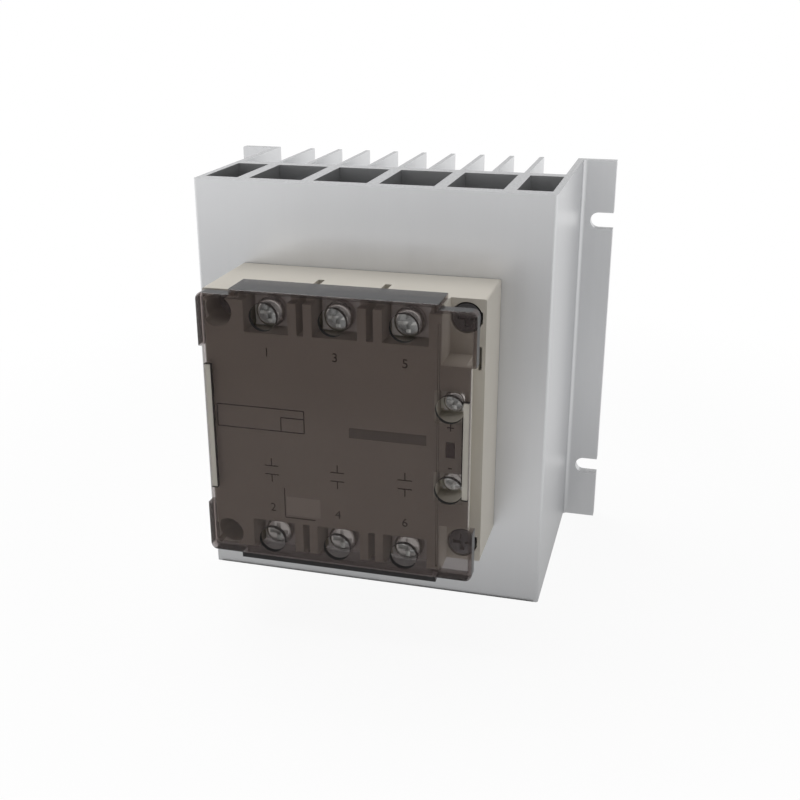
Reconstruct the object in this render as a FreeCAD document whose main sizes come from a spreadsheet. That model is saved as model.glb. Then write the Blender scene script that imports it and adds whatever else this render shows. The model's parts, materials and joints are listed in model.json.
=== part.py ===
"""Three-phase solid state relay on an extruded heat sink with a lift-off terminal cover."""
import os
import re

import FreeCAD, Part
import Sketcher
from FreeCAD import Placement, Rotation, Vector

# The frame: +X to the right, +Y into the panel, +Z up, millimetres.
# The origin is the centre of the four flange slots, on the rear plane that lies on the panel.
# "Depth" is the distance forward from the heat sink's front face, where the module sits.

sizes = {
    # heat sink extrusion
    "sink_width": 110.0,
    "sink_height": 130.0,
    "sink_depth": 70.0,
    "sink_face": 5.0,
    "channel_depth": 26.0,
    "mid_plate": 4.5,
    "side_wall": 2.0,
    "web_thickness": 3.8,
    "fin_pitch": 10.2,
    "fin_thickness": 1.5,
    "fin_setback": 0.5,
    "sink_edge": 0.8,
    "flange_width": 11.0,
    "flange_thickness": 3.5,
    "flange_fillet": 1.5,
    "slot_width": 5.5,
    "slot_seat": 4.85,
    "slot_pitch": 90.0,
    # module outline
    "module_width": 80.0,
    "module_height": 80.0,
    "strip_drop": 3.2,
    "driver_room": 3.6,
    "cover_rise": 2.0,
    "strip_width": 10.0,
    "shell_wall": 2.0,
    "shell_edge": 0.6,
    "ledge": 1.8,
    "ledge_drop": 3.4,
    "brow_thickness": 2.0,
    "entry_inset": 3.4,
    "front_wall": 2.0,
    "dividing_wall": 3.0,
    # module floor
    "pad_thickness": 0.3,
    "plate_thickness": 3.0,
    "plate_clearance": 0.2,
    "substrate_thickness": 0.7,
    "substrate_width": 16.0,
    "substrate_height": 42.0,
    "chip_size": 9.0,
    "chip_thickness": 0.4,
    "chip_pitch": 22.0,
    # module fixing screws
    "fixing_pitch": 69.0,
    "fixing_thread": 4.0,
    "fixing_head": 8.0,
    "fixing_head_height": 2.6,
    "fixing_seat": 19.0,
    "fixing_well": 9.0,
    "fixing_washer": 0.8,
    "fixing_grip": 4.5,
    "hole_clearance": 0.6,
    # main terminals
    "pole_pitch": 20.0,
    "terminal_reach": 34.2,
    "terminal_level": 26.0,
    "strip_thickness": 1.2,
    "strip_breadth": 9.0,
    "riser_reach": 24.6,
    "foot_length": 5.0,
    "pocket_width": 13.0,
    "pocket_reach": 29.0,
    "slit_width": 2.0,
    "slit_depth": 14.0,
    "main_thread": 5.0,
    "main_head": 8.6,
    "main_head_height": 3.2,
    "main_nut": 8.0,
    "main_nut_height": 4.0,
    "main_washer_width": 11.0,
    "main_washer_height": 9.6,
    "main_washer": 1.2,
    "main_screw_length": 8.0,
    "recess_width": 1.3,
    "recess_share": 0.66,
    "recess_depth": 1.5,
    # input terminals
    "input_inset": 7.1,
    "input_reach": 12.1,
    "input_block": 24.0,
    "input_pocket": 9.4,
    "input_thread": 3.5,
    "input_head": 6.4,
    "input_head_height": 2.4,
    "input_nut": 5.6,
    "input_nut_height": 2.6,
    "input_washer_size": 6.8,
    "input_washer": 1.0,
    "input_screw_length": 6.0,
    # terminal cover
    "cover_wall": 1.4,
    "cover_plate": 1.5,
    "skirt_depth": 4.0,
    "cover_corner": 2.0,
    "cover_edge": 0.8,
    "lip_rise": 1.5,
    "lip_left": 30.0,
    "lip_right": 29.5,
    "lip_start": 24.0,
    "knockout_width": 10.0,
    "knockout_length": 6.0,
    "knockout_depth": 0.5,
    "access_hole": 8.0,
    "seam_width": 0.5,
    "seam_depth": 0.4,
    "window_reach": 24.5,
    "latch_width": 1.6,
    "latch_left_reach": 19.0,
    "latch_right_reach": 14.4,
    "latch_clearance": 0.3,
    "latch_rise": 1.6,
    # slots in the low strip
    "tag_inset": 1.0,
    "tag_width": 0.9,
    "tag_length": 3.4,
    "tag_depth": 3.0,
    "tag_high": 34.6,
    "tag_mid": 23.0,
    "tag_low": 33.9,
    # electronics
    "board_drop": 11.0,
    "board_thickness": 1.6,
    "board_reach": 23.6,
    "board_gap": 0.6,
    "post_diameter": 4.0,
    "post_x": 32.0,
    "post_z": 19.0,
    "lead_diameter": 0.8,
    "lead_offset": 2.5,
    "coupler_width": 6.4,
    "coupler_length": 8.6,
    "coupler_height": 3.4,
    "varistor_diameter": 12.0,
    "varistor_thickness": 4.0,
    "capacitor_width": 13.0,
    "capacitor_thickness": 5.0,
    "capacitor_height": 10.0,
    "resistor_diameter": 3.6,
    "resistor_length": 9.0,
    "driver_width": 4.6,
    "driver_inset": 5.0,
    "driver_height": 1.6,
    "led_diameter": 3.0,
    "led_height": 4.0,
    "lens_width": 2.4,
    "lens_height": 4.6,
    "lens_drop": 0.45,
    "lens_clearance": 0.1,
    # fits
    "running_fit": 0.05,
    "slip_fit": 0.2,
    # how far a cutting shape runs past what it cuts
    "overcut": 1.0,
}

# Depths that follow the terminals' level.
derived = {
    "body_depth": "terminal_level - strip_drop",
    "front_depth": "terminal_level + main_washer + main_head_height + driver_room",
    "ledge_depth": "front_depth - ledge_drop",
    "brow_depth": "front_depth - brow_thickness",
    "cover_depth": "front_depth + cover_rise",
    "board_level": "terminal_level - board_drop",
}

poles = (-1, 0, 1)
sides = {"line": 1, "load": -1}
inputs = {"plus": 1, "minus": -1}
fins_each_side = 4
corners = [(across, up) for across in (-1, 1) for up in (-1, 1)]

# Levels in front of the heat sink's face, and places on it, as formulas of the sizes.
plate_top = "(pad_thickness + plate_thickness)"
substrate_top = f"({plate_top} + substrate_thickness)"
chip_top = f"({substrate_top} + chip_thickness)"
board_top = "(board_level + board_thickness)"
strip_bottom = "(terminal_level - strip_thickness)"
through_strip = (f"{strip_bottom} - overcut", "terminal_level + overcut")
skirt_start = "(cover_depth - skirt_depth)"
half_width = "(module_width / 2)"
half_height = "(module_height / 2)"
block_right = f"({half_width} - strip_width)"
block_reach = f"({half_height} - ledge)"
entry_face = f"({half_width} - entry_inset)"
latch_outer = f"({half_width} - cover_wall - latch_clearance)"
riser_x = "(input_inset + (input_washer_size + strip_thickness) / 2)"
input_x = f"({half_width} - input_inset)"
cavity_reach = "(pocket_reach - shell_wall)"
cavity_x = f"({half_width} - shell_wall)"
rear_depth = "(sink_depth - sink_face - channel_depth - mid_plate)"
pole_places = {
    f"{side}_{pole + 2}": (f"{pole} * pole_pitch", f"{sign} * terminal_reach")
    for side, sign in sides.items()
    for pole in poles
}

document = FreeCAD.newDocument("relay")
sheet = document.addObject("Spreadsheet::Sheet", "Sizes")
entries = {name: str(size) for name, size in sizes.items()}
entries.update((name, "=" + formula) for name, formula in derived.items())
for row, (name, entry) in enumerate(entries.items(), start=1):
    sheet.set(f"A{row}", name)
    sheet.setAlias(f"B{row}", name)
    sheet.set(f"B{row}", entry)
document.recompute()

pieces = {}


def sized(formula):
    """The formula with every size read from the sheet."""
    return re.sub(r"[a-z][a-z_]+", lambda word: "Sizes." + word.group(0), formula)


def bind(item, target, formula):
    item.setExpression(target, sized(formula))


def keep(label, item):
    """Name a finished sub-part."""
    item.Label = label
    pieces[label] = item


def span(middle, size):
    """The two ends of a size centred on a place."""
    return (f"{middle} - ({size}) / 2", f"{middle} + ({size}) / 2")


# Part primitives and booleans


def block(name, x, z, depth):
    """A box between two places across, up and forward."""
    item = document.addObject("Part::Box", name)
    bind(item, "Length", f"({x[1]}) - ({x[0]})")
    bind(item, "Width", f"({depth[1]}) - ({depth[0]})")
    bind(item, "Height", f"({z[1]}) - ({z[0]})")
    bind(item, "Placement.Base.x", x[0])
    bind(item, "Placement.Base.y", f"-(sink_depth + ({depth[1]}))")
    bind(item, "Placement.Base.z", z[0])
    return item


def rod(name, x, z, depth, diameter):
    """A round bar that points forward."""
    item = document.addObject("Part::Cylinder", name)
    item.Placement = Placement(Vector(), Rotation(Vector(1, 0, 0), 90))
    bind(item, "Radius", f"({diameter}) / 2")
    bind(item, "Height", f"({depth[1]}) - ({depth[0]})")
    bind(item, "Placement.Base.x", x)
    bind(item, "Placement.Base.y", f"-(sink_depth + ({depth[0]}))")
    bind(item, "Placement.Base.z", z)
    return item


def joined(name, shapes):
    item = document.addObject("Part::MultiFuse", name)
    item.Shapes = shapes
    item.Refine = True
    return item


def trimmed(name, base, tools):
    item = document.addObject("Part::Cut", name)
    item.Base = base
    item.Tool = tools[0] if len(tools) == 1 else joined(name + "_tools", tools)
    return item


def group(name, shapes):
    """Separate solids that share one node."""
    item = document.addObject("Part::Compound", name)
    item.Links = shapes
    return item


# PartDesign bodies


def plane(body, role):
    return next(item for item in body.Origin.OriginFeatures if item.Role == role)


def sketch_on(body, name, role, level):
    sketch = body.newObject("Sketcher::SketchObject", name)
    sketch.AttachmentSupport = [(plane(body, role), "")]
    sketch.MapMode = "FlatFace"
    bind(sketch, "AttachmentOffset.Base.z", level)
    return sketch


def front_sketch(body, name, depth):
    """A sketch that faces forward, at a depth; its axes are X and Z."""
    return sketch_on(body, name, "XZ_Plane", f"sink_depth + ({depth})")


def dimension(sketch, kind, geometry, point, formula):
    index = sketch.addConstraint(Sketcher.Constraint(kind, -1, 1, geometry, point, 1.0))
    bind(sketch, f"Constraints[{index}]", formula)


def draw_rectangle(sketch, across, up):
    first = sketch.GeometryCount
    ends = [Vector(1, 1), Vector(2, 1), Vector(2, 2), Vector(1, 2)]
    for index in range(4):
        sketch.addGeometry(Part.LineSegment(ends[index], ends[(index + 1) % 4]))
    for index in range(4):
        following = first + (index + 1) % 4
        sketch.addConstraint(Sketcher.Constraint("Coincident", first + index, 2, following, 1))
        kind = "Vertical" if index % 2 else "Horizontal"
        sketch.addConstraint(Sketcher.Constraint(kind, first + index))
    dimension(sketch, "DistanceX", first, 1, across[0])
    dimension(sketch, "DistanceY", first, 1, up[0])
    dimension(sketch, "DistanceX", first + 2, 1, across[1])
    dimension(sketch, "DistanceY", first + 2, 1, up[1])


def draw_circle(sketch, across, up, diameter):
    circle = sketch.addGeometry(Part.Circle(Vector(1, 1), Vector(0, 0, 1), 1))
    dimension(sketch, "DistanceX", circle, 3, across)
    dimension(sketch, "DistanceY", circle, 3, up)
    index = sketch.addConstraint(Sketcher.Constraint("Diameter", circle, 2.0))
    bind(sketch, f"Constraints[{index}]", diameter)


def pad(body, name, sketch, length):
    feature = body.newObject("PartDesign::Pad", name)
    feature.Profile = sketch
    bind(feature, "Length", length)
    feature.Refine = True
    return feature


def pocket(body, name, sketch, length):
    feature = body.newObject("PartDesign::Pocket", name)
    feature.Profile = sketch
    bind(feature, "Length", length)
    feature.Refine = True
    return feature


def raise_blocks(body, name, depth, outlines):
    """Pad rectangles (x, z) between two depths."""
    sketch = front_sketch(body, name + "_sketch", depth[0])
    for x, z in outlines:
        draw_rectangle(sketch, x, z)
    return pad(body, name, sketch, f"({depth[1]}) - ({depth[0]})")


def sink_blocks(body, name, depth, outlines):
    """Pocket rectangles (x, z) between two depths."""
    sketch = front_sketch(body, name + "_sketch", depth[1])
    for x, z in outlines:
        draw_rectangle(sketch, x, z)
    return pocket(body, name, sketch, f"({depth[1]}) - ({depth[0]})")


def sink_holes(body, name, depth, holes):
    """Pocket round holes (x, z, diameter) between two depths."""
    sketch = front_sketch(body, name + "_sketch", depth[1])
    for x, z, diameter in holes:
        draw_circle(sketch, x, z, diameter)
    return pocket(body, name, sketch, f"({depth[1]}) - ({depth[0]})")


def along(edge, axis):
    """True for a straight edge that runs along the axis."""
    if edge.Curve.TypeId != "Part::GeomLine":
        return False
    return abs(abs(edge.Curve.Direction.dot(axis)) - 1) < 1e-6


def soften(body, name, kind, radius, wanted):
    """Round or bevel the edges of the body's tip that the test picks."""
    document.recompute()
    base = body.Tip
    picked = [f"Edge{i}" for i, edge in enumerate(base.Shape.Edges, start=1) if wanted(edge)]
    feature = body.newObject("PartDesign::" + kind, name)
    feature.Base = (base, picked)
    bind(feature, "Radius" if kind == "Fillet" else "Size", radius)
    return feature


def value(name):
    """A size as a number."""
    return float(sheet.get(name))


def corner_places(pitch):
    return [(f"{across} * {pitch} / 2", f"{up} * {pitch} / 2") for across, up in corners]


# Heat sink


def heat_sink():
    body = document.addObject("PartDesign::Body", "heat_sink")
    bottom = "-sink_height / 2"
    half = "sink_width / 2"

    face = sketch_on(body, "front_block_sketch", "XY_Plane", bottom)
    draw_rectangle(face, (f"-{half}", half), ("-sink_depth", f"-{rear_depth}"))
    pad(body, "front_block", face, "sink_height")

    rails = sketch_on(body, "side_rails_sketch", "XY_Plane", bottom)
    draw_rectangle(rails, (f"-{half}", f"-{half} + side_wall"), ("-sink_depth", "0"))
    draw_rectangle(rails, (f"{half} - side_wall", half), ("-sink_depth", "0"))
    pad(body, "side_rails", rails, "sink_height")

    flanges = sketch_on(body, "flanges_sketch", "XY_Plane", bottom)
    for inner, outer in ((f"-{half} - flange_width", f"-{half} + side_wall / 2"),
                         (f"{half} - side_wall / 2", f"{half} + flange_width")):
        draw_rectangle(flanges, (inner, outer), ("-flange_thickness", "0"))
    pad(body, "flanges", flanges, "sink_height")

    fins = sketch_on(body, "fins_sketch", "XY_Plane", bottom)
    for fin in range(-fins_each_side, fins_each_side + 1):
        middle = f"{fin} * fin_pitch"
        draw_rectangle(fins, span(middle, "fin_thickness"),
                       (f"-{rear_depth} - mid_plate / 2", "-fin_setback"))
    pad(body, "fins", fins, "sink_height")

    channels = sketch_on(body, "channels_sketch", "XY_Plane", "sink_height / 2")
    wall = f"{half} - side_wall"
    edges = [f"-({wall})"]
    for web in (-2, -1, 0, 1, 2):
        edges += span(f"{web} * 2 * fin_pitch", "web_thickness")
    edges.append(wall)
    channel_front = "-(sink_depth - sink_face)"
    for left, right in zip(edges[0::2], edges[1::2]):
        draw_rectangle(channels, (left, right), (channel_front, f"{channel_front} + channel_depth"))
    pocket(body, "channels", channels, "sink_height")

    slots = front_sketch(body, "slots_sketch", "flange_thickness - sink_depth")
    centre = f"{half} + flange_width - slot_seat"
    beyond = f"{half} + 2 * flange_width"
    for up in (-1, 1):
        level = f"{up} * slot_pitch / 2"
        height = span(level, "slot_width")
        draw_rectangle(slots, (centre, beyond), height)
        draw_rectangle(slots, (f"-({beyond})", f"-({centre})"), height)
    pocket(body, "slots", slots, "flange_thickness")
    ends = front_sketch(body, "slot_ends_sketch", "flange_thickness - sink_depth")
    for across in (-1, 1):
        for up in (-1, 1):
            draw_circle(ends, f"{across} * ({centre})", f"{up} * slot_pitch / 2", "slot_width")
    pocket(body, "slot_ends", ends, "flange_thickness")

    holes = [(x, z, "fixing_thread") for x, z in corner_places("fixing_pitch")]
    sink_holes(body, "fixing_holes", ("-sink_face", "0"), holes)

    def front_corner(edge):
        place = edge.CenterOfMass
        at_front = abs(place.y + value("sink_depth")) < 0.01
        return along(edge, Vector(0, 0, 1)) and at_front and abs(place.z) < 0.01

    def flange_root(edge):
        place = edge.CenterOfMass
        at_root = abs(abs(place.x) - value("sink_width") / 2) < 0.01
        return along(edge, Vector(0, 0, 1)) and at_root and place.y > -value("sink_depth") / 2

    soften(body, "front_corners", "Fillet", "sink_edge", front_corner)
    soften(body, "flange_roots", "Fillet", "flange_fillet", flange_root)
    keep("heat_sink", body)


# Module floor


def thermal_pad():
    reach = f"{half_width} - shell_wall"
    rise = f"{half_height} - shell_wall"
    sheet_block = block("pad_sheet", (f"-({reach})", reach), (f"-({rise})", rise), ("0", "pad_thickness"))
    holes = [rod(f"pad_hole_{i}", x, z, ("-overcut", "overcut"), "fixing_thread + 2 * hole_clearance")
             for i, (x, z) in enumerate(corner_places("fixing_pitch"), start=1)]
    keep("thermal_pad", trimmed("thermal_pad", sheet_block, holes))


def base_plate():
    reach = f"{cavity_x} - plate_clearance"
    rise = f"{half_height} - shell_wall - plate_clearance"
    slab = block("plate_slab", (f"-({reach})", reach), (f"-({rise})", rise), ("pad_thickness", plate_top))
    holes = [rod(f"plate_hole_{i}", x, z, ("0", f"{plate_top} + overcut"), "fixing_thread + hole_clearance")
             for i, (x, z) in enumerate(corner_places("fixing_pitch"), start=1)]
    keep("base_plate", trimmed("base_plate", slab, holes))


def power_section(pole):
    """One pole's ceramic plate with its two thyristor chips."""
    middle = f"{pole} * pole_pitch"
    across = span(middle, "substrate_width")
    up = span("0", "substrate_height")
    number = pole + 2
    keep(f"ceramic_substrate_{number}",
         block(f"ceramic_substrate_{number}", across, up, (plate_top, substrate_top)))
    for half, sign in enumerate((1, -1)):
        level = f"{sign} * chip_pitch / 2"
        chip = block(f"thyristor_{2 * number - 1 + half}", span(middle, "chip_size"),
                     span(level, "chip_size"), (substrate_top, chip_top))
        keep(chip.Name, chip)


def fixing_screws():
    """The four screws that hold the module to the heat sink, with their washers."""
    screws, washers = [], []
    seat = "fixing_seat + fixing_washer"
    for i, (x, z) in enumerate(corner_places("fixing_pitch"), start=1):
        shank = rod(f"fixing_shank_{i}", x, z, ("-fixing_grip", seat), "fixing_thread - 2 * running_fit")
        head = rod(f"fixing_head_{i}", x, z, (seat, f"{seat} + fixing_head_height"), "fixing_head")
        top = f"{seat} + fixing_head_height"
        level = (f"{top} - recess_depth", f"{top} + overcut")
        length = "fixing_head * recess_share"
        cross = [block(f"fixing_cross_a_{i}", span(x, length), span(z, "recess_width"), level),
                 block(f"fixing_cross_b_{i}", span(x, "recess_width"), span(z, length), level)]
        screws.append(trimmed(f"fixing_screw_{i}", joined(f"fixing_blank_{i}", [shank, head]), cross))
        ring = rod(f"fixing_ring_{i}", x, z, ("fixing_seat", seat), "fixing_head")
        bore = rod(f"fixing_bore_{i}", x, z, ("fixing_seat - overcut", f"{seat} + overcut"),
                   "fixing_thread + slip_fit")
        washers.append(trimmed(f"fixing_washer_{i}", ring, [bore]))
    keep("mounting_screws", group("mounting_screws", screws))
    keep("mounting_washers", group("mounting_washers", washers))


# Terminals


def busbar(name, x, sign):
    """A copper strip bent from the ceramic plate up to the terminal face."""
    across = span(x, "strip_breadth")

    def up(low, high):
        return (low, high) if sign > 0 else (f"-({high})", f"-({low})")

    riser_out = "riser_reach + strip_thickness"
    foot = block(name + "_foot", across, up("riser_reach - foot_length", riser_out),
                 (substrate_top, f"{substrate_top} + strip_thickness"))
    riser = block(name + "_riser", across, up("riser_reach", riser_out), (substrate_top, "terminal_level"))
    face = block(name + "_face", across, up("riser_reach", f"{half_height} - 2 * ledge"),
                 (strip_bottom, "terminal_level"))
    bore = rod(name + "_bore", x, f"{sign} * terminal_reach", through_strip, "main_thread")
    keep(name, trimmed(name, joined(name + "_strip", [foot, riser, face]), [bore]))


def square_plate(name, x, z, width, height, depth, bore):
    """A rectangular plate with a round hole in the middle."""
    plate = block(name + "_blank", span(x, width), span(z, height), depth)
    hole = rod(name + "_hole", x, z, (f"({depth[0]}) - overcut", f"({depth[1]}) + overcut"), bore)
    return trimmed(name, plate, [hole])


def terminal_screw(label, x, z, kind):
    """A pan head screw with a cross recess, standing on its captive washer."""
    body = document.addObject("PartDesign::Body", label)
    seat = f"terminal_level + {kind}_washer"
    top = f"{seat} + {kind}_head_height"
    shank = front_sketch(body, label + "_shank_sketch", f"{seat} - {kind}_screw_length")
    draw_circle(shank, x, z, f"{kind}_thread - 2 * running_fit")
    pad(body, label + "_shank", shank, f"{kind}_screw_length")
    head = front_sketch(body, label + "_head_sketch", seat)
    draw_circle(head, x, z, f"{kind}_head")
    pad(body, label + "_head", head, f"{kind}_head_height")
    length = f"{kind}_head * recess_share"
    level = (f"{top} - recess_depth", top)
    sink_blocks(body, label + "_recess_a", level, [(span(x, length), span(z, "recess_width"))])
    sink_blocks(body, label + "_recess_b", level, [(span(x, "recess_width"), span(z, length))])
    head_top = -(value("sink_depth") + value("terminal_level") + value(kind + "_washer")
                 + value(kind + "_head_height"))

    def rim(edge):
        round_edge = edge.Curve.TypeId == "Part::GeomCircle"
        return round_edge and abs(edge.CenterOfMass.y - head_top) < 0.01

    soften(body, label + "_rim", "Fillet", f"{kind}_head_height / 3", rim)
    keep(label, body)


def main_terminals():
    nuts = []
    bore = "main_thread"
    for place, (x, z) in pole_places.items():
        side, number = place.split("_")
        busbar(f"{side}_busbar_{number}", x, sides[side])
        nuts.append(square_plate(f"main_nut_{place}", x, z, "main_nut", "main_nut",
                                 (f"{strip_bottom} - main_nut_height", strip_bottom), bore))
        washer = square_plate(f"{side}_washer_{number}", x, z, "main_washer_width", "main_washer_height",
                              ("terminal_level", "terminal_level + main_washer"), bore)
        keep(washer.Name, washer)
        terminal_screw(f"{side}_screw_{number}", x, z, "main")
    keep("main_terminal_nuts", group("main_terminal_nuts", nuts))


def input_terminals():
    nuts = []
    riser_in = f"{half_width} - {riser_x} - strip_thickness / 2"
    riser_out = f"{half_width} - {riser_x} + strip_thickness / 2"
    for name, sign in inputs.items():
        z = f"{sign} * input_reach"
        up = span(z, "input_washer_size")
        face = block(f"input_face_{name}", (riser_in, f"{input_x} + input_washer_size / 2"), up,
                     (strip_bottom, "terminal_level"))
        riser = block(f"input_riser_{name}", (riser_in, riser_out), up, (board_top, "terminal_level"))
        bore = rod(f"input_bore_{name}", input_x, z, through_strip, "input_thread")
        strip = joined(f"input_strip_{name}", [face, riser])
        keep(f"input_terminal_{name}", trimmed(f"input_terminal_{name}", strip, [bore]))
        nuts.append(square_plate(f"input_nut_{name}", input_x, z, "input_nut", "input_nut",
                                 (f"{strip_bottom} - input_nut_height", strip_bottom), "input_thread"))
        washer = square_plate(f"input_washer_{name}", input_x, z, "input_washer_size", "input_washer_size",
                              ("terminal_level", "terminal_level + input_washer"), "input_thread")
        keep(washer.Name, washer)
        terminal_screw(f"input_screw_{name}", input_x, z, "input")
    keep("input_terminal_nuts", group("input_terminal_nuts", nuts))


# Electronics


def circuit_board():
    reach = f"{cavity_x} - board_gap"
    slab = block("board_slab", (f"-({reach})", reach), ("-board_reach", "board_reach"),
                 ("board_level", board_top))
    lead_hole = "lead_diameter + slip_fit"
    holes = [rod(f"board_hole_{i}", x, z, ("board_level - overcut", f"{board_top} + overcut"), lead_hole)
             for i, (x, z) in enumerate(gate_places(), start=1)]
    keep("circuit_board", trimmed("circuit_board", slab, holes))


def gate_places():
    return [(f"{pole} * pole_pitch + lead_offset", f"{sign} * chip_pitch / 2") for pole in poles
            for sign in (1, -1)]


def gate_leads():
    leads = [rod(f"gate_lead_{i}", x, z, (chip_top, f"{board_top} + overcut"), "lead_diameter")
             for i, (x, z) in enumerate(gate_places(), start=1)]
    keep("gate_leads", group("gate_leads", leads))


def board_parts(pole):
    """One pole's parts on the circuit board."""
    middle = f"{pole} * pole_pitch"
    number = pole + 2
    coupler = block(f"photocoupler_{number}", span(middle, "coupler_width"),
                    span("0", "coupler_length"), (board_top, f"{board_top} + coupler_height"))
    keep(coupler.Name, coupler)

    capacitor = block(f"snubber_capacitor_{number}", span(middle, "capacitor_width"),
                      ("board_reach - capacitor_thickness - board_gap", "board_reach - board_gap"),
                      (board_top, f"{board_top} + capacitor_height"))
    keep(capacitor.Name, capacitor)

    disc = document.addObject("Part::Cylinder", f"varistor_{number}")
    bind(disc, "Radius", "varistor_diameter / 2")
    bind(disc, "Height", "varistor_thickness")
    bind(disc, "Placement.Base.x", middle)
    bind(disc, "Placement.Base.y", f"-(sink_depth + {board_top} + varistor_diameter / 2)")
    bind(disc, "Placement.Base.z", "-board_reach + board_gap")
    keep(disc.Name, disc)

    resistor = document.addObject("Part::Cylinder", f"snubber_resistor_{number}")
    resistor.Placement = Placement(Vector(), Rotation(Vector(0, 1, 0), 90))
    bind(resistor, "Radius", "resistor_diameter / 2")
    bind(resistor, "Height", "resistor_length")
    bind(resistor, "Placement.Base.x", f"{middle} - resistor_length / 2")
    bind(resistor, "Placement.Base.y", f"-(sink_depth + {board_top} + resistor_diameter / 2)")
    capacitor_edge = "(board_reach - capacitor_thickness - board_gap)"
    bind(resistor, "Placement.Base.z", f"({capacitor_edge} + chip_pitch / 2) / 2")
    keep(resistor.Name, resistor)


def control_parts():
    """The input driver, the indicator and its lens."""
    z = "-lens_drop"
    driver_right = f"{input_x} - driver_inset"
    driver = block("input_driver", (f"{driver_right} - driver_width", driver_right),
                   ("-input_reach", "driver_width - input_reach"),
                   (board_top, f"{board_top} + driver_height"))
    keep("input_driver", driver)
    keep("indicator_led", rod("indicator_led", input_x, z, (board_top, f"{board_top} + led_height"),
                              "led_diameter"))
    keep("indicator_lens", block("indicator_lens", span(input_x, "lens_width"), span(z, "lens_height"),
                                 (f"{board_top} + led_height + slip_fit", "front_depth")))


# Housing and cover


def latch_outlines(clearance):
    """The two latch ribs that pass through the cover, grown by a clearance."""
    inner, outer = f"{latch_outer} - latch_width - ({clearance})", f"{latch_outer} + ({clearance})"
    left = ((f"-({outer})", f"-({inner})"),
            (f"-latch_left_reach - ({clearance})", f"latch_left_reach + ({clearance})"))
    right = ((inner, outer),
             (f"-latch_right_reach - ({clearance})", f"latch_right_reach + ({clearance})"))
    return left, right


def outward(z, low, high):
    """A span measured outward from the middle, on the side of the module that z is on."""
    return (f"-({high})", f"-({low})") if z.startswith("-") else (low, high)


def housing_outside(body):
    full = (f"-{half_width}", half_width)
    rise = (f"-{half_height}", half_height)
    raise_blocks(body, "lower_body", ("pad_thickness", "body_depth"), [(full, rise)])
    raise_blocks(body, "raised_body", ("body_depth", "ledge_depth"),
                 [((f"-{half_width}", block_right), rise)])
    raise_blocks(body, "raised_front", ("ledge_depth - overcut", "front_depth"),
                 [((f"-{half_width} + ledge", block_right), (f"-{block_reach}", block_reach))])
    reach = ("-input_block", "input_block")
    inner = f"{block_right} - shell_wall"
    raise_blocks(body, "input_body", ("body_depth", "front_depth"), [((inner, entry_face), reach)])
    raise_blocks(body, "input_brow", ("brow_depth", "front_depth"), [((inner, latch_outer), reach)])
    raise_blocks(body, "latches", ("front_depth - overcut", "front_depth + latch_rise"),
                 latch_outlines("0"))


def housing_inside(body):
    inner = (f"-{cavity_x}", cavity_x)
    inner_rise = f"{half_height} - shell_wall"
    sink_blocks(body, "plate_recess", ("0", plate_top), [(inner, (f"-({inner_rise})", inner_rise))])
    cavity_up = (f"-{cavity_reach}", cavity_reach)
    sink_blocks(body, "lower_cavity", (plate_top, "body_depth - shell_wall"), [(inner, cavity_up)])
    upper = (f"-{half_width} + ledge + shell_wall", f"{block_right} - dividing_wall")
    sink_blocks(body, "upper_cavity", ("body_depth - shell_wall - overcut", "front_depth - front_wall"),
                [(upper, cavity_up)])
    cores = [(span(x, "pocket_width"), outward(z, "pocket_reach", inner_rise))
             for x, z in pole_places.values()]
    sink_blocks(body, "cores", (plate_top, "slit_depth - shell_wall / 2"), cores)


def main_terminal_spaces(body):
    pockets, strips, nuts, wells = [], [], [], []
    for x, z in pole_places.values():
        pockets.append((span(x, "pocket_width"), outward(z, "pocket_reach", f"{half_height} + overcut")))
        strips.append((span(x, "strip_breadth + slip_fit"),
                       outward(z, f"{cavity_reach} - overcut", "pocket_reach + overcut")))
        nuts.append((span(x, "main_nut + slip_fit"), span(z, "main_nut + slip_fit")))
        wells.append((x, z, "main_thread + hole_clearance"))
    sink_blocks(body, "terminal_pockets", (strip_bottom, "front_depth"), pockets)
    sink_blocks(body, "strip_slots", (strip_bottom, "terminal_level + slip_fit"), strips)
    sink_blocks(body, "nut_seats", (f"{strip_bottom} - main_nut_height", strip_bottom), nuts)
    well_bottom = "terminal_level - main_screw_length - slit_width"
    sink_holes(body, "screw_wells", (well_bottom, strip_bottom), wells)

    slits = []
    for across in (-1, 1):
        middle = f"{across} * pole_pitch / 2"
        width = span(middle, "slit_width")
        slits.append((width, ("pocket_reach", f"{half_height} + overcut")))
        slits.append((width, (f"-({half_height} + overcut)", "-pocket_reach")))
    sink_blocks(body, "barrier_slits", ("slit_depth", "front_depth"), slits)


def input_terminal_spaces(body):
    pockets, entries, nuts, risers, wells = [], [], [], [], []
    left = f"{input_x} - input_pocket / 2"
    for sign in inputs.values():
        z = f"{sign} * input_reach"
        up = span(z, "input_pocket")
        pockets.append(((left, f"{latch_outer} - latch_width"), up))
        entries.append(((left, f"{half_width} + overcut"), up))
        nuts.append((span(input_x, "input_nut + slip_fit"), span(z, "input_nut + slip_fit")))
        risers.append((span(f"{half_width} - {riser_x}", "strip_thickness + slip_fit"),
                       span(z, "input_washer_size + slip_fit")))
        wells.append((input_x, z, "input_thread + hole_clearance"))
    under = "body_depth - shell_wall - overcut"
    sink_blocks(body, "input_pockets", (strip_bottom, "front_depth"), pockets)
    sink_blocks(body, "input_entries", (strip_bottom, "brow_depth"), entries)
    sink_blocks(body, "input_nut_seats", (f"{strip_bottom} - input_nut_height", strip_bottom), nuts)
    sink_blocks(body, "riser_slots", (under, strip_bottom), risers)
    sink_holes(body, "input_wells", (under, strip_bottom), wells)
    lens = (span(input_x, "lens_width + 2 * lens_clearance"),
            span("-lens_drop", "lens_height + 2 * lens_clearance"))
    sink_blocks(body, "lens_hole", (under, "front_depth"), [lens])


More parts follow.
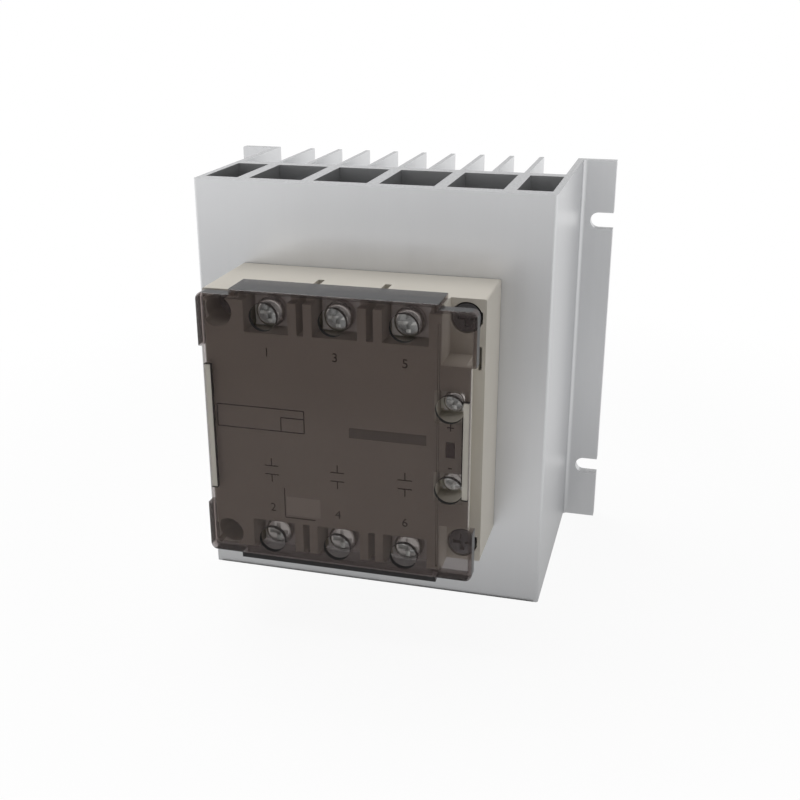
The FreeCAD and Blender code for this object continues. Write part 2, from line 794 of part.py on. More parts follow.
def fixing_spaces(body):
    places = corner_places("fixing_pitch")
    wells = [(x, z, "fixing_well") for x, z in places]
    sink_holes(body, "fixing_wells", ("fixing_seat", "front_depth"), wells)
    bores = [(x, z, "fixing_thread + hole_clearance") for x, z in places]
    sink_holes(body, "fixing_bores", ("0", "front_depth"), bores)
    across = (f"{half_width} - tag_inset - tag_width", f"{half_width} - tag_inset")
    lengths = (("tag_high", "tag_length"), ("tag_mid", "2 * tag_length"), ("-tag_low", "tag_length"))
    tags = [(across, span(middle, length)) for middle, length in lengths]
    sink_blocks(body, "tag_slots", ("body_depth - tag_depth", "body_depth"), tags)


def housing():
    body = document.addObject("PartDesign::Body", "housing")
    housing_outside(body)
    housing_inside(body)
    main_terminal_spaces(body)
    input_terminal_spaces(body)
    fixing_spaces(body)

    posts = front_sketch(body, "board_posts_sketch", board_top)
    for up in (-1, 1):
        draw_circle(posts, "-post_x", f"{up} * post_z", "post_diameter")
    pad(body, "board_posts", posts, f"front_depth - front_wall / 2 - {board_top}")

    def outer_corner(edge):
        place = edge.CenterOfMass
        return (along(edge, Vector(0, 1, 0)) and abs(abs(place.x) - value("module_width") / 2) < 0.01
                and abs(abs(place.z) - value("module_height") / 2) < 0.01)

    soften(body, "outer_corners", "Fillet", "shell_edge", outer_corner)
    keep("housing", body)


def terminal_cover():
    body = document.addObject("PartDesign::Body", "terminal_cover")
    full = (f"-{half_width}", half_width)
    rise = (f"-{half_height}", half_height)
    raise_blocks(body, "cap", (skirt_start, "cover_depth"), [(full, rise)])

    def cap_corner(edge):
        place = edge.CenterOfMass
        return (along(edge, Vector(0, 1, 0)) and abs(abs(place.x) - value("module_width") / 2) < 0.01
                and abs(abs(place.z) - value("module_height") / 2) < 0.01)

    soften(body, "cap_corners", "Fillet", "cover_corner", cap_corner)
    lip = ("-lip_left", "lip_right")
    lip_top = f"{half_height} + lip_rise"
    raise_blocks(body, "lips", ("lip_start", "cover_depth"), [(lip, (f"-({lip_top})", lip_top))])

    def front_rim(edge):
        return abs(edge.BoundBox.YMax + value("sink_depth") + value("cover_depth")) < 0.01

    soften(body, "front_rim", "Fillet", "cover_edge", front_rim)

    inside = (f"-({half_width} - cover_wall)", f"{half_width} - cover_wall")
    inside_rise = f"{half_height} - cover_wall"
    under_plate = "cover_depth - cover_plate"
    sink_blocks(body, "cap_inside", (skirt_start, under_plate),
                [(inside, (f"-({inside_rise})", inside_rise))])
    lip_rise_inside = f"{lip_top} - cover_wall"
    lip_inside = (f"-({lip_rise_inside})", lip_rise_inside)
    lip_room = ("-lip_left + cover_wall", "lip_right - cover_wall")
    sink_blocks(body, "lip_inside", (skirt_start, under_plate), [(lip_room, lip_inside)])
    sink_blocks(body, "lip_throat", ("lip_start", skirt_start), [(lip, lip_inside)])

    holes = [(x, z, "access_hole") for x, z in pole_places.values()]
    holes += [(input_x, f"{sign} * input_reach", "access_hole") for sign in inputs.values()]
    sink_holes(body, "access_holes", (under_plate, "cover_depth"), holes)

    beyond = f"{half_width} + overcut"
    window = ("-window_reach", "window_reach")
    left_window = ((f"-({beyond})", f"-({half_width} - cover_wall)"), window)
    right_window = ((f"{half_width} - cover_wall", beyond), window)
    sink_blocks(body, "side_windows", (skirt_start, "cover_depth"), [left_window, right_window])
    sink_blocks(body, "latch_slots", (under_plate, "cover_depth"), latch_outlines("slip_fit"))

    seam = (f"{block_right} - seam_width", block_right)
    sink_blocks(body, "seam", ("cover_depth - seam_depth", "cover_depth"),
                [(seam, (f"-({half_height} - 2 * cover_corner)", f"{half_height} - 2 * cover_corner"))])

    middle = f"((lip_start + {under_plate}) / 2)"
    scores = sketch_on(body, "knockouts_sketch", "XY_Plane", f"{lip_rise_inside} + knockout_depth")
    for pole in poles:
        x = f"{pole} * pole_pitch"
        draw_rectangle(scores, span(x, "knockout_width"),
                       span(f"-(sink_depth + {middle})", "knockout_length"))
    pocket(body, "knockouts", scores, f"2 * ({lip_rise_inside} + knockout_depth)")
    keep("terminal_cover", body)


heat_sink()
thermal_pad()
base_plate()
for pole in poles:
    power_section(pole)
main_terminals()
input_terminals()
circuit_board()
gate_leads()
for pole in poles:
    board_parts(pole)
control_parts()
housing()
terminal_cover()
fixing_screws()
document.recompute()

for item in document.Objects:
    if "Invalid" in item.State or "Error" in item.State:
        raise RuntimeError(f"{item.Name} failed: {item.State}")

os.makedirs("parts", exist_ok=True)
for label, item in pieces.items():
    if item.Shape.isNull() or not item.Shape.isValid():
        raise RuntimeError(f"{label} has no valid shape")
    item.Shape.exportStep(f"parts/{label}.step")
    print(label, len(item.Shape.Solids), round(item.Shape.Volume, 1))
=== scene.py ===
import json
import math

import bpy
from mathutils import Matrix, Vector


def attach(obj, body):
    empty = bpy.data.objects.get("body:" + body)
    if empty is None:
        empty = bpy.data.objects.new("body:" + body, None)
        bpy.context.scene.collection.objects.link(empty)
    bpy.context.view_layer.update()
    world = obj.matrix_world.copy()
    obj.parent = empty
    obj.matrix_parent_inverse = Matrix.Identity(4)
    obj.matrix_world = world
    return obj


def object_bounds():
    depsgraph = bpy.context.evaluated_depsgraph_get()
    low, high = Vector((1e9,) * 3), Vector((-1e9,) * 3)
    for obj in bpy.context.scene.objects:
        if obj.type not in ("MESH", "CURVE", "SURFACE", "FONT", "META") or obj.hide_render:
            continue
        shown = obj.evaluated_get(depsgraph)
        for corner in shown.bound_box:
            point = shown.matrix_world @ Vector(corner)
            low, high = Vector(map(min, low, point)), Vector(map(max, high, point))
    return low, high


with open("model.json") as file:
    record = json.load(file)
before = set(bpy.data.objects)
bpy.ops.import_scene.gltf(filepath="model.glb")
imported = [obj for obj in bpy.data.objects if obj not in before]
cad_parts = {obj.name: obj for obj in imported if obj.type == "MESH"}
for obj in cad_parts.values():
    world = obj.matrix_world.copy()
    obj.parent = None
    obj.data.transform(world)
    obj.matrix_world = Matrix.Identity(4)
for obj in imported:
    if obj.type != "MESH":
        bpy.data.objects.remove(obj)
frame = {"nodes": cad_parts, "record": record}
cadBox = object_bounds()
mm = 0.001
print("frame loaded:", len(frame["nodes"]), "nodes")


# Shader maths: a Wire is one socket, and expressions on wires add Math nodes
class Wire:
    def __init__(self, tree, socket=None):
        self.tree = tree
        self.socket = socket

    def node(self, kind, settings=None, inputs=None, output=0):
        made = self.tree.nodes.new(kind)
        for name, setting in (settings or {}).items():
            setattr(made, name, setting)
        for name, source in (inputs or {}).items():
            if isinstance(source, Wire):
                self.tree.links.new(source.socket, made.inputs[name])
            else:
                made.inputs[name].default_value = source
        return Wire(self.tree, made.outputs[output])

    def maths(self, operation, *values, clamp=False):
        inputs = dict(enumerate((self,) + values))
        return self.node("ShaderNodeMath", {"operation": operation, "use_clamp": clamp}, inputs)

    def flipped(self, operation, other):
        return self.node("ShaderNodeMath", {"operation": operation}, {0: other, 1: self})

    def __add__(self, other):
        return self.maths("ADD", other)

    def __sub__(self, other):
        return self.maths("SUBTRACT", other)

    def __mul__(self, other):
        return self.maths("MULTIPLY", other)

    def __truediv__(self, other):
        return self.maths("DIVIDE", other)

    def __radd__(self, other):
        return self.flipped("ADD", other)

    def __rsub__(self, other):
        return self.flipped("SUBTRACT", other)

    def __rmul__(self, other):
        return self.flipped("MULTIPLY", other)

    def ramp(self, low, high):  # 0 below low, 1 above high
        return ((self - low) / (high - low)).maths("ADD", 0.0, clamp=True)

    def inside(self, low, high):  # 1 between low and high, else 0
        return (self - low).maths("GREATER_THAN", 0.0) * (self - high).maths("LESS_THAN", 0.0)

    def rayKind(self, kind):
        return self.node("ShaderNodeLightPath", output=kind)

    def blendColour(self, low, high):
        return self.node("ShaderNodeMix", {"data_type": "RGBA"}, {0: self, 6: low, 7: high}, output=2)


def grey(level):
    return (level, level, level, 1.0)


def tint(colour, factor):
    return tuple(min(part * factor, 1.0) for part in colour[:3]) + (1.0,)


class Finish:
    # one material: its tree, its coordinates and its Principled shader
    def __init__(self, name, colour, roughness, **plain):
        self.material = bpy.data.materials.new(name)
        self.material.use_nodes = True
        self.tree = self.material.node_tree
        self.shader = self.tree.nodes["Principled BSDF"]
        self.shader.inputs["Base Color"].default_value = tuple(colour[:3]) + (1.0,)
        self.shader.inputs["Roughness"].default_value = roughness
        for socket, setting in plain.items():
            self.shader.inputs[socket.replace("_", " ")].default_value = setting
        self.start = Wire(self.tree)
        self.place = self.start.node("ShaderNodeTexCoord", output="Object")
        self.facing = self.start.node("ShaderNodeTexCoord", output="Normal")

    def axis(self, letter, source=None):
        return self.start.node("ShaderNodeSeparateXYZ", {}, {0: source or self.place}, output=letter)

    def noise(self, scale, detail=3.0, stretch=(1, 1, 1), roughness=0.5):
        spread = self.start.node("ShaderNodeMapping", {}, {"Vector": self.place, "Scale": stretch})
        return self.start.node("ShaderNodeTexNoise", {},
                               {"Vector": spread, "Scale": scale, "Detail": detail, "Roughness": roughness})

    def feed(self, socket, wire):
        self.tree.links.new(wire.socket, self.shader.inputs[socket])

    def relief(self, height, distance, strength=1.0):
        bump = self.start.node("ShaderNodeBump", {},
                               {"Height": height, "Distance": distance, "Strength": strength})
        self.feed("Normal", bump)


# Finishes

aluminiumLook = {
    "colour": (0.66, 0.665, 0.675),
    "metallic": 0.86,
    "channelShade": 0.62,  # painted shade: the fin channels darkened to this share of the colour
    "channelDepth": (38.7 * mm, 65.3 * mm),
    "channelWidth": 53.3 * mm,
    "roughness": 0.36,
    "streakScale": 900,  # fine lines along the extrusion, per metre
    "streakDepth": 0.006 * mm,
    "bandScale": 60,
    "grainScale": 2600,
    "sawScale": 1600,
    "sawnToneAndShade": (0.34, 0.76),  # the sawn ends against the drawn sides: their tooth marks, and painted shade darkening these faces against the top light
    "sawDepth": 0.05 * mm,
}


def aluminiumFinish():
    look = aluminiumLook
    f = Finish("aluminium", look["colour"], look["roughness"], Metallic=look["metallic"])
    streaks = f.noise(look["streakScale"], 3, (1, 1, 0.01))
    bands = f.noise(look["bandScale"], 2, (1, 1, 0.05))
    sawn = f.axis("Z", f.facing).maths("ABSOLUTE").ramp(0.8, 0.95)
    teeth = f.noise(look["sawScale"], 4, (1, 0.25, 1), 0.7)
    grain = f.noise(look["grainScale"], 2)
    tone = streaks * 0.25 + bands * 0.35 + grain * 0.2 + 0.12
    satin = tone.blendColour(tint(look["colour"], 0.93), tint(look["colour"], 1.05))
    # painted shade: the sawn ends are darkened partly to hold back the top light on them, partly for their
    # tooth marks
    sawDark, sawLight = look["sawnToneAndShade"]
    rough = (teeth * 1.2).maths("MINIMUM", 1.0)
    rough = rough.blendColour(tint(look["colour"], sawDark), tint(look["colour"], sawLight))
    # painted shade: the channels between the fins, in this depth and width, are darkened as if in shadow
    channelShadeMask = (0 - f.axis("Y")).inside(*look["channelDepth"])
    channelShadeMask = channelShadeMask * f.axis("X").maths("ABSOLUTE").inside(-1.0, look["channelWidth"])
    satin = channelShadeMask.blendColour(satin, tint(look["colour"], look["channelShade"]))
    f.feed("Base Color", sawn.blendColour(satin, rough))
    f.feed("Roughness", (streaks * 0.12 + look["roughness"] - 0.06) + sawn * 0.16)
    height = (1 - sawn) * streaks * look["streakDepth"] + sawn * teeth * look["sawDepth"]
    f.relief(height, 1.0)
    return f.material


housingLook = {
    "colour": (0.60, 0.565, 0.50),
    "wellShade": (0.022, 0.022, 0.024),  # painted shade: the two left fixing wells darkened to near black, as if in deep shadow
    "wellShadePlace": (-34.5 * mm, 34.5 * mm),
    "wellShadeRadius": 4.2 * mm,
    "roughness": 0.5,
    "grainScale": 3200,
    "grainDepth": 0.012 * mm,
}


def housingFinish():
    look = housingLook
    f = Finish("housingPlastic", look["colour"], look["roughness"], IOR=1.46)
    grain = f.noise(look["grainScale"], 3)
    cloud = f.noise(55, 3)
    plain = (cloud * 0.7 + grain * 0.3).blendColour(tint(look["colour"], 0.94), tint(look["colour"], 1.05))
    # painted shade: a disc round each left fixing well is coloured near black
    x = f.axis("X") - look["wellShadePlace"][0]
    z = f.axis("Z").maths("ABSOLUTE") - look["wellShadePlace"][1]
    shadedWell = (look["wellShadeRadius"] - (x * x + z * z).maths("SQRT")).maths("GREATER_THAN", 0.0)
    f.feed("Base Color", shadedWell.blendColour(plain, tint(look["wellShade"], 1.0)))
    f.feed("Roughness", grain * 0.2 + (look["roughness"] - 0.1))
    f.relief(grain, look["grainDepth"])
    return f.material


smokedLook = {
    "colour": (0.185, 0.152, 0.146),
    "inner": (0.24, 0.20, 0.19),  # the inner sides of the walls
    # painted shade: near black for the walls' outer sides, the lip top, the access holes' walls and the
    # front strip
    "edge": (0.010, 0.0095, 0.010),
    "roughness": 0.1,
    "faceCover": 0.18,  # how much the flat faces hide what is behind them
    "innerCover": 0.5,
    "edgeCover": 0.9,
    "bandCover": 0.97,
    "edgeRoughness": 0.6,  # the matt walls of the access holes and the front strip
    "outerWidth": (39.9 * mm, 40.6 * mm),  # where the walls' outer sides lie
    "outerHeight": (39.9 * mm, 40.06 * mm),
    "lipTop": (41.2 * mm, 42.0 * mm),
    "plate": 104.45 * mm,  # the plate lies forward of this
    "openPart": (38.4 * mm, 38.4 * mm),  # inside the walls
    "darkBand": -39.7 * mm,  # the front strip below the lower lip, painted near black as shade
    "bandFront": 105.0 * mm,
    "smoke": (0.46, 0.37, 0.345, 1.0),
    "density": 430,  # per metre of plastic
    "waveScale": 38,
    "waveDepth": 0.02 * mm,
}


def smokedFinish():
    look = smokedLook
    f = Finish("smokedPlastic", look["colour"], look["roughness"], IOR=1.5)
    haze = f.noise(900, 3)
    across = f.axis("X").maths("ABSOLUTE")
    up = f.axis("Z").maths("ABSOLUTE")
    outer = across.inside(*look["outerWidth"]).maths("MAXIMUM", up.inside(*look["outerHeight"]))
    outer = outer.maths("MAXIMUM", f.axis("Z").inside(*look["lipTop"]))
    openWidth, openHeight = look["openPart"]
    holeWall = (0 - f.axis("Y")).inside(look["plate"], 1.0)
    holeWall = holeWall * across.inside(-1.0, openWidth) * up.inside(-1.0, openHeight)
    band = f.axis("Z").inside(-1.0, look["darkBand"]) * (0 - f.axis("Y")).inside(look["bandFront"], 1.0)
    holeWall = holeWall * (1 - f.axis("Y", f.facing).maths("ABSOLUTE").ramp(0.35, 0.75))
    matt = holeWall.maths("MAXIMUM", band)
    # painted shade: these walls and the front strip are made near black and nearly opaque, standing in for
    # smoked plastic seen edgewise
    dark = outer.maths("MAXIMUM", holeWall).maths("MAXIMUM", band)
    side = (1 - f.axis("Y", f.facing).maths("ABSOLUTE").ramp(0.35, 0.75)).maths("MAXIMUM", band)
    sideColour = dark.blendColour(tint(look["inner"], 1.0), tint(look["edge"], 1.0))
    faceColour = haze.blendColour(tint(look["colour"], 0.95), tint(look["colour"], 1.05))
    f.feed("Base Color", side.blendColour(faceColour, sideColour))
    polish = haze * 0.08 + (look["roughness"] - 0.04) + side * 0.12
    f.feed("Roughness", polish + matt * look["edgeRoughness"])
    sideCover = dark * (look["edgeCover"] - look["innerCover"]) + look["innerCover"]
    sideCover = sideCover + matt * (look["bandCover"] - look["edgeCover"])
    faceCover = haze * 0.02 + (look["faceCover"] - 0.01)
    f.feed("Alpha", faceCover * (1 - side) + sideCover * side)
    f.relief(f.noise(look["waveScale"], 2), look["waveDepth"])
    smoke = f.start.node("ShaderNodeVolumeAbsorption", {},
                         {"Color": look["smoke"], "Density": look["density"]})
    f.tree.links.new(smoke.socket, f.tree.nodes["Material Output"].inputs["Volume"])
    return f.material


turnedLook = {
    "polePitch": 20 * mm,
    "rowHeight": 34.2 * mm,
    "ringRate": 11000,  # radians per metre outwards
    "ringDepth": 0.0015 * mm,
}


def turnedFinish(name, colour, roughness):
    # steel with turning rings about each main terminal's own axis
    look = turnedLook
    f = Finish(name, colour, roughness, Metallic=1.0)
    pitch = look["polePitch"]
    x = (f.axis("X") / pitch + 0.5).maths("FRACT") * pitch - pitch / 2
    z = f.axis("Z").maths("ABSOLUTE") - look["rowHeight"]
    radius = (x * x + z * z).maths("SQRT")
    rings = (radius * look["ringRate"]).maths("SINE") * 0.5 + 0.5
    specks = f.noise(1500, 3)
    smudge = f.noise(240, 2)
    mottle = smudge * 0.6 + specks * 0.4
    f.feed("Base Color", mottle.blendColour(tint(colour, 0.86), tint(colour, 1.08)))
    f.feed("Roughness", smudge * 0.18 + rings * 0.05 + (roughness - 0.1))
    f.relief(rings * 0.6 + specks * 0.4, look["ringDepth"])
    return f.material


def grainedFinish(name, colour, roughness, scale, spread, depth=0.008 * mm, **plain):
    # a mottled, finely grained surface
    f = Finish(name, colour, roughness, **plain)
    grain = f.noise(scale, 3)
    cloud = f.noise(120, 3)
    mottle = cloud * 0.6 + grain * 0.4
    f.feed("Base Color", mottle.blendColour(tint(colour, 1 - spread), tint(colour, 1 + spread)))
    f.feed("Roughness", mottle * 0.2 + (roughness - 0.1))
    f.relief(grain, depth)
    return f.material


boardLook = {
    "mask": (0.022, 0.115, 0.052),
    "copper": (0.05, 0.21, 0.085),
    "trackPitch": 2.54 * mm,
    "trackShare": 0.32,
    "cellPitches": 6,  # a track is there or not for this many pitches
    "scatter": (12.9898, 43.7),  # a fixed shuffle of which cells hold tracks
    "empty": 0.2,
}


def boardFinish():
    look = boardLook
    f = Finish("boardLaminate", look["mask"], 0.32, Coat_Weight=0.3)
    x = (f.axis("X") / look["trackPitch"]).maths("FRACT")
    cell = (f.axis("Z") / (look["cellPitches"] * look["trackPitch"])).maths("FLOOR")
    rate, spread = look["scatter"]
    shown = ((cell * rate).maths("SINE") * spread).maths("FRACT")
    lines = (x - look["trackShare"]).maths("LESS_THAN", 0.0)
    lines = lines * (shown - look["empty"]).maths("GREATER_THAN", 0.0)
    f.feed("Base Color", lines.blendColour(tint(look["mask"], 1.0), tint(look["copper"], 1.0)))
    f.feed("Roughness", f.noise(800, 2) * 0.2 + 0.22)
    f.relief(lines, 0.03 * mm)
    return f.material


resistorLook = {
    "body": (0.55, 0.43, 0.27),
    "length": 9 * mm,
    "pitch": 20 * mm,
    "bands": (  # share of the length, and colour
        (0.35, (0.25, 0.02, 0.02)),
        (0.5, (0.02, 0.02, 0.02)),
        (0.65, (0.45, 0.16, 0.02)),
        (0.82, (0.5, 0.36, 0.06)),
    ),
    "bandShare": 0.06,
}


def resistorFinish():
    look = resistorLook
    f = Finish("resistorCoating", look["body"], 0.4)
    pitch, length = look["pitch"], look["length"]
    along = (f.axis("X") / pitch + 0.5).maths("FRACT") * (pitch / length)
    along = along - (pitch - length) / 2 / length
    colour = f.noise(900, 2).blendColour(tint(look["body"], 0.92), tint(look["body"], 1.08))
    for middle, band in look["bands"]:
        inside = (along - middle).maths("ABSOLUTE").maths("LESS_THAN", look["bandShare"] / 2)
        colour = inside.blendColour(colour, tint(band, 1.0))
    f.feed("Base Color", colour)
    f.feed("Roughness", f.noise(700, 2) * 0.2 + 0.3)
    return f.material


finishes = {
    "aluminium": aluminiumFinish(),
    "housing_plastic": housingFinish(),
    "smoked_plastic": smokedFinish(),
    "thermal_sheet": grainedFinish("thermalSheet", (0.36, 0.37, 0.38), 0.8, 900, 0.12),
    "alumina": grainedFinish("alumina", (0.80, 0.79, 0.74), 0.55, 2400, 0.04),
    "silicon": grainedFinish("silicon", (0.09, 0.09, 0.11), 0.25, 3000, 0.2),
    "tinned_copper": grainedFinish("tinnedCopper", (0.78, 0.76, 0.71), 0.34, 1800, 0.08, Metallic=1.0),
    "plated_steel": turnedFinish("platedSteel", (0.52, 0.515, 0.505), 0.2),
    "dark_steel": turnedFinish("darkSteel", (0.12, 0.12, 0.125), 0.36),
    "board_laminate": boardFinish(),
    "black_plastic": grainedFinish("blackPlastic", (0.025, 0.025, 0.026), 0.5, 3000, 0.2),
    "varistor_coating": grainedFinish("varistorCoating", (0.02, 0.07, 0.30), 0.3, 700, 0.15, 0.02 * mm),
    "capacitor_case": grainedFinish("capacitorCase", (0.62, 0.40, 0.06), 0.4, 2200, 0.06),
    "resistor_coating": resistorFinish(),
    "led_lens": grainedFinish("ledLens", (0.45, 0.02, 0.015), 0.12, 400, 0.06),
    "indicator_window": grainedFinish("indicatorWindow", (0.035, 0.008, 0.008), 0.12, 500, 0.1),
}

clampFinish = grainedFinish("clampSteel", (0.74, 0.72, 0.71), 0.45, 1700, 0.08, Metallic=0.6)

for part in frame["record"]["subparts"]:
    node = frame["nodes"][part["node"]]
    for slot in node.material_slots:
        slot.material = clampFinish if "_washer_" in part["node"] else finishes[part["material_slot"]]


# Printed marks on the housing's front, under the cover

markLook = {
    "colour": (0.050, 0.044, 0.040),
    "bar": (0.24, 0.225, 0.20),
    "patch": (0.80, 0.77, 0.70),
    "thickness": 0.04 * mm,
    "numberHeight": 2.6 * mm,
    "line": 0.35,  # millimetres
}
markFinish = grainedFinish("markInk", markLook["colour"], 0.55, 2600, 0.1)
barFinish = grainedFinish("barInk", markLook["bar"], 0.55, 2600, 0.1)
patchFinish = grainedFinish("patchFoil", markLook["patch"], 0.5, 2600, 0.06)


def deselectAll():
    bpy.ops.object.select_all(action="DESELECT")


def finishMark(piece, name, finish=markFinish):
    # the marks lie on the housing's front face
    piece.name = name
    piece.data.materials.clear()
    piece.data.materials.append(finish)
    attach(piece, "relay")


sinkDepth = 70 * mm
moduleDepth = 34 * mm
frontFace = -(sinkDepth + moduleDepth)


def numberMark(name, text, x, z, height):
    deselectAll()
    bpy.ops.object.text_add(location=(x * mm, frontFace, z * mm), rotation=(math.pi / 2, 0, 0))
    piece = bpy.context.object
    piece.data.body = text
    piece.data.align_x = "CENTER"
    piece.data.align_y = "CENTER"
    piece.data.size = height / 0.7
    piece.data.extrude = markLook["thickness"] / 2
    bpy.ops.object.convert(target="MESH")
    piece = bpy.context.object
    bpy.ops.object.transform_apply(location=True, rotation=True, scale=True)
    piece.data.transform(Matrix.Translation((0, -markLook["thickness"] / 2, 0)))
    finishMark(piece, name)


def strokeMark(name, strokes, finish=markFinish):
    # strokes are rectangles (x, z, width, height) in millimetres, each a thin raised bar
    bars = []
    for x, z, width, height in strokes:
        deselectAll()
        middle = (x * mm, frontFace - markLook["thickness"] / 2, z * mm)
        bpy.ops.mesh.primitive_cube_add(size=1, location=middle)
        bar = bpy.context.object
        bar.scale = (width * mm, markLook["thickness"], height * mm)
        bpy.ops.object.transform_apply(location=True, rotation=True, scale=True)
        bpy.ops.object.mode_set(mode="EDIT")
        bpy.ops.mesh.select_all(action="SELECT")
        bpy.ops.mesh.bevel(offset=markLook["thickness"] / 3, segments=1)  # the ink's soft edge
        bpy.ops.object.mode_set(mode="OBJECT")
        bars.append(bar)
    deselectAll()
    for bar in bars:
        bar.select_set(True)
    bpy.context.view_layer.objects.active = bars[0]
    bpy.ops.object.join()
    finishMark(bpy.context.object, name, finish)


poles = (-20, 0, 20)  # millimetres, as are the numbers below
for row, z in (("135", 23.5), ("246", -24.5)):
    for x, text in zip(poles, row):
        numberMark("terminal_number_" + text, text, x, z, markLook["numberHeight"])
numberMark("input_sign_plus", "+", 32.9, 6.0, 3.0 * mm)
numberMark("input_sign_minus", "-", 32.9, -5.6, 3.0 * mm)

line = markLook["line"]
for number, x in enumerate(poles, start=1):
    strokes = [(x, -9.9, line, 2.4), (x, -11.1, 4.2, line),
               (x, -13.8, 4.2, line), (x, -15.0, line, 2.4)]
    strokeMark(f"contact_symbol_{number}", strokes)
left, right, top, bottom, divide, shelf = -36.0, -9.6, 6.8, 0.0, -16.6, 4.3
middle, level = (left + right) / 2, (top + bottom) / 2
strokeMark("rating_frame", [
    (middle, top, right - left, line),
    (middle, bottom, right - left, line),
    (left, level, line, top - bottom),
    (right, level, line, top - bottom),
    (divide, (shelf + bottom) / 2, line, shelf - bottom),
    ((divide + right) / 2, shelf, right - divide, line),
])
strokeMark("print_bar", [(14.9, 1.7, 22.4, 3.1)], barFinish)
strokeMark("date_patch", [(-10.6, -23.4, 10.4, 6.0)], patchFinish)
strokeMark("date_corner", [(-16.3, -22.4, line, 9.2), (-11.7, -27.2, 9.4, line)])
print("marks made")


# Floor, backdrop and light

stageLook = {
    "floorSize": 6.0,
    "floorShade": (0.90, 0.90, 0.90, 1.0),
    "shown": 0.92,  # how much of the floor is plain white to the camera
    "shadowReach": 0.28,  # past this the floor is all white to the camera
    "sky": 0.275,
    "mirrored": 0.87,  # the floor's brightness in metal and gloss
    "brightSide": (0.02, 0.40, 0.28),  # brighter to the left, in metal and gloss: from, to, by how much
    "farGain": (0.50, 0.85, 0.32),  # and brighter far out
    "nearShade": (0.42, 0.08),  # painted shade: how much duller it is against the object, and how far out
    "dimBand": (0.25, 0.31, 0.47, 0.60),  # painted shade in reflections: a duller strip of floor in front, seen only by metal and gloss: where it starts and ends
    "dimBandWidth": 0.30,
    "dimBandLevel": 0.10,
    "underneath": 0.04,  # painted shadow: the floor's level right under the object, as metal and gloss see it
    "footprint": (55 * mm, 70 * mm),  # half width and depth, for the painted shade round it
    "shadeEdge": (53.5 * mm, 71 * mm),  # half width and front of the painted shadow under it
    "rearEdge": 1 * mm,
    "mirrorMix": 0.99,
}


def litWorld():
    world = bpy.data.worlds.new("studio")
    world.use_nodes = True
    bpy.context.scene.world = world
    tree = world.node_tree
    start = Wire(tree)
    seen = start.rayKind("Is Camera Ray").maths("MAXIMUM", start.rayKind("Is Glossy Ray"))
    seen = seen.maths("MAXIMUM", start.rayKind("Is Transmission Ray"))
    strength = seen * (1 - stageLook["sky"]) + stageLook["sky"]
    back = tree.nodes["Background"]
    back.inputs["Color"].default_value = grey(1.0)
    tree.links.new(strength.socket, back.inputs["Strength"])


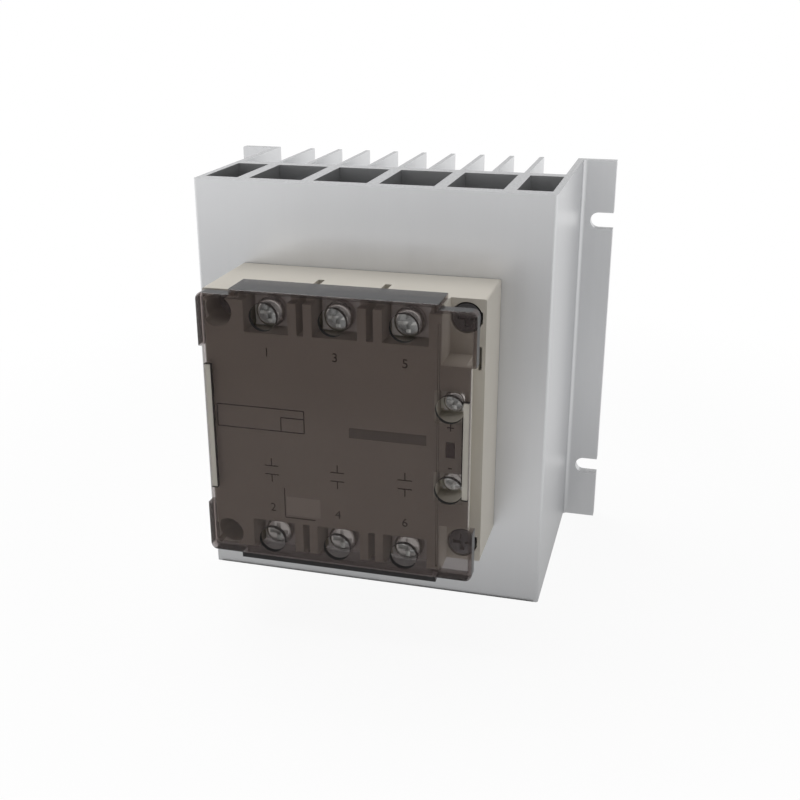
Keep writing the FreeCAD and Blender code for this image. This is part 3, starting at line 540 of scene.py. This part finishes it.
def floorMaterial():
    f = Finish("floorPaper", stageLook["floorShade"], 0.9)
    paper = f.noise(300, 3)
    f.feed("Base Color", paper.blendColour(grey(0.89), grey(0.91)))
    x, y = f.axis("X"), f.axis("Y")
    away = (x * x + y * y).maths("SQRT")
    seen = f.start.rayKind("Is Camera Ray")
    seen = seen.maths("MAXIMUM", f.start.rayKind("Is Transmission Ray"))
    mirrored = f.start.rayKind("Is Glossy Ray")
    far = away.ramp(stageLook["shadowReach"] * 0.5, stageLook["shadowReach"])
    plain = far * (1 - stageLook["shown"]) + stageLook["shown"]
    first, full, fade, last = stageLook["dimBand"]
    ahead = 0 - y
    wide = 1 - x.maths("ABSOLUTE").ramp(stageLook["dimBandWidth"] * 0.7, stageLook["dimBandWidth"])
    dim = ahead.ramp(first, full) * (1 - ahead.ramp(fade, last)) * wide
    start, end, gain = stageLook["brightSide"]
    # painted reflection: metal and gloss see the floor's own glow, not lit paper
    level = (0 - x).ramp(start, end) * gain + stageLook["mirrored"]  # what metal and gloss see
    start, end, gain = stageLook["farGain"]
    level = level + away.ramp(start, end) * gain
    level = level * (1 - dim * (1 - stageLook["dimBandLevel"]))
    shade, reach = stageLook["nearShade"]
    halfWidth, depth = stageLook["footprint"]
    beside = (x.maths("ABSOLUTE") - halfWidth).maths("MAXIMUM", 0.0)
    before = ((y + depth / 2).maths("ABSOLUTE") - depth / 2).maths("MAXIMUM", 0.0)
    apart = (beside * beside + before * before).maths("SQRT")
    level = level * (1 - (1 - apart.ramp(0.0, reach)) * shade)
    halfWidth, front = stageLook["shadeEdge"]
    below = (x.maths("ABSOLUTE") - halfWidth).maths("LESS_THAN", 0.0)
    below = below * (ahead - front).maths("LESS_THAN", 0.0)
    below = below * (y - stageLook["rearEdge"]).maths("LESS_THAN", 0.0)
    level = level * (1 - below * (1 - stageLook["underneath"]))
    glow = f.start.node("ShaderNodeEmission", {},
                        {"Color": grey(1.0), "Strength": seen + mirrored * level})
    paperShader = Wire(f.tree, f.shader.outputs[0])
    share = seen * plain + mirrored * stageLook["mirrorMix"]
    mixed = f.start.node("ShaderNodeMixShader", {}, {0: share, 1: paperShader, 2: glow})
    f.tree.links.new(mixed.socket, f.tree.nodes["Material Output"].inputs["Surface"])
    return f.material


litWorld()
low, high = cadBox[0], cadBox[1]
deselectAll()
bpy.ops.mesh.primitive_plane_add(size=stageLook["floorSize"], location=(0, 0, low[2]))
floor = bpy.context.object
floor.name = "floor"
floor.data.materials.append(floorMaterial())

lamps = {  # place, aim, size and power
    "topBox": ((-0.45, 0.12, 1.25), (0, -0.04, 0), 1.1, 12.0),
    "rightBox": ((1.3, 0.1, 0.45), (0, -0.04, 0), 0.9, 2.6),
    "frontBox": ((-0.9, -1.2, 0.5), (0, -0.04, 0), 1.0, 0.3),
}
for name, (place, aim, size, power) in lamps.items():
    lamp = bpy.data.lights.new(name, "AREA")
    lamp.size = size
    lamp.energy = power
    holder = bpy.data.objects.new(name, lamp)
    bpy.context.scene.collection.objects.link(holder)
    holder.location = place
    holder.rotation_euler = (Vector(aim) - Vector(place)).to_track_quat("-Z", "Y").to_euler()

cameraView = {
    "place": (91.5 * mm, -379.8 * mm, 121.0 * mm),
    "azimuth": 14.81,
    "elevation": 20.73,
    "lens": 50.0,
}
camera = bpy.data.objects.new("camera", bpy.data.cameras.new("camera"))
bpy.context.scene.collection.objects.link(camera)
camera.location = cameraView["place"]
camera.rotation_euler = (math.radians(90 - cameraView["elevation"]), 0, math.radians(cameraView["azimuth"]))
camera.data.lens = cameraView["lens"]
camera.data.sensor_width = 36
camera.data.clip_start = 0.01
bpy.context.scene.camera = camera
bpy.context.scene.view_settings.view_transform = "Standard"
print("stage set")
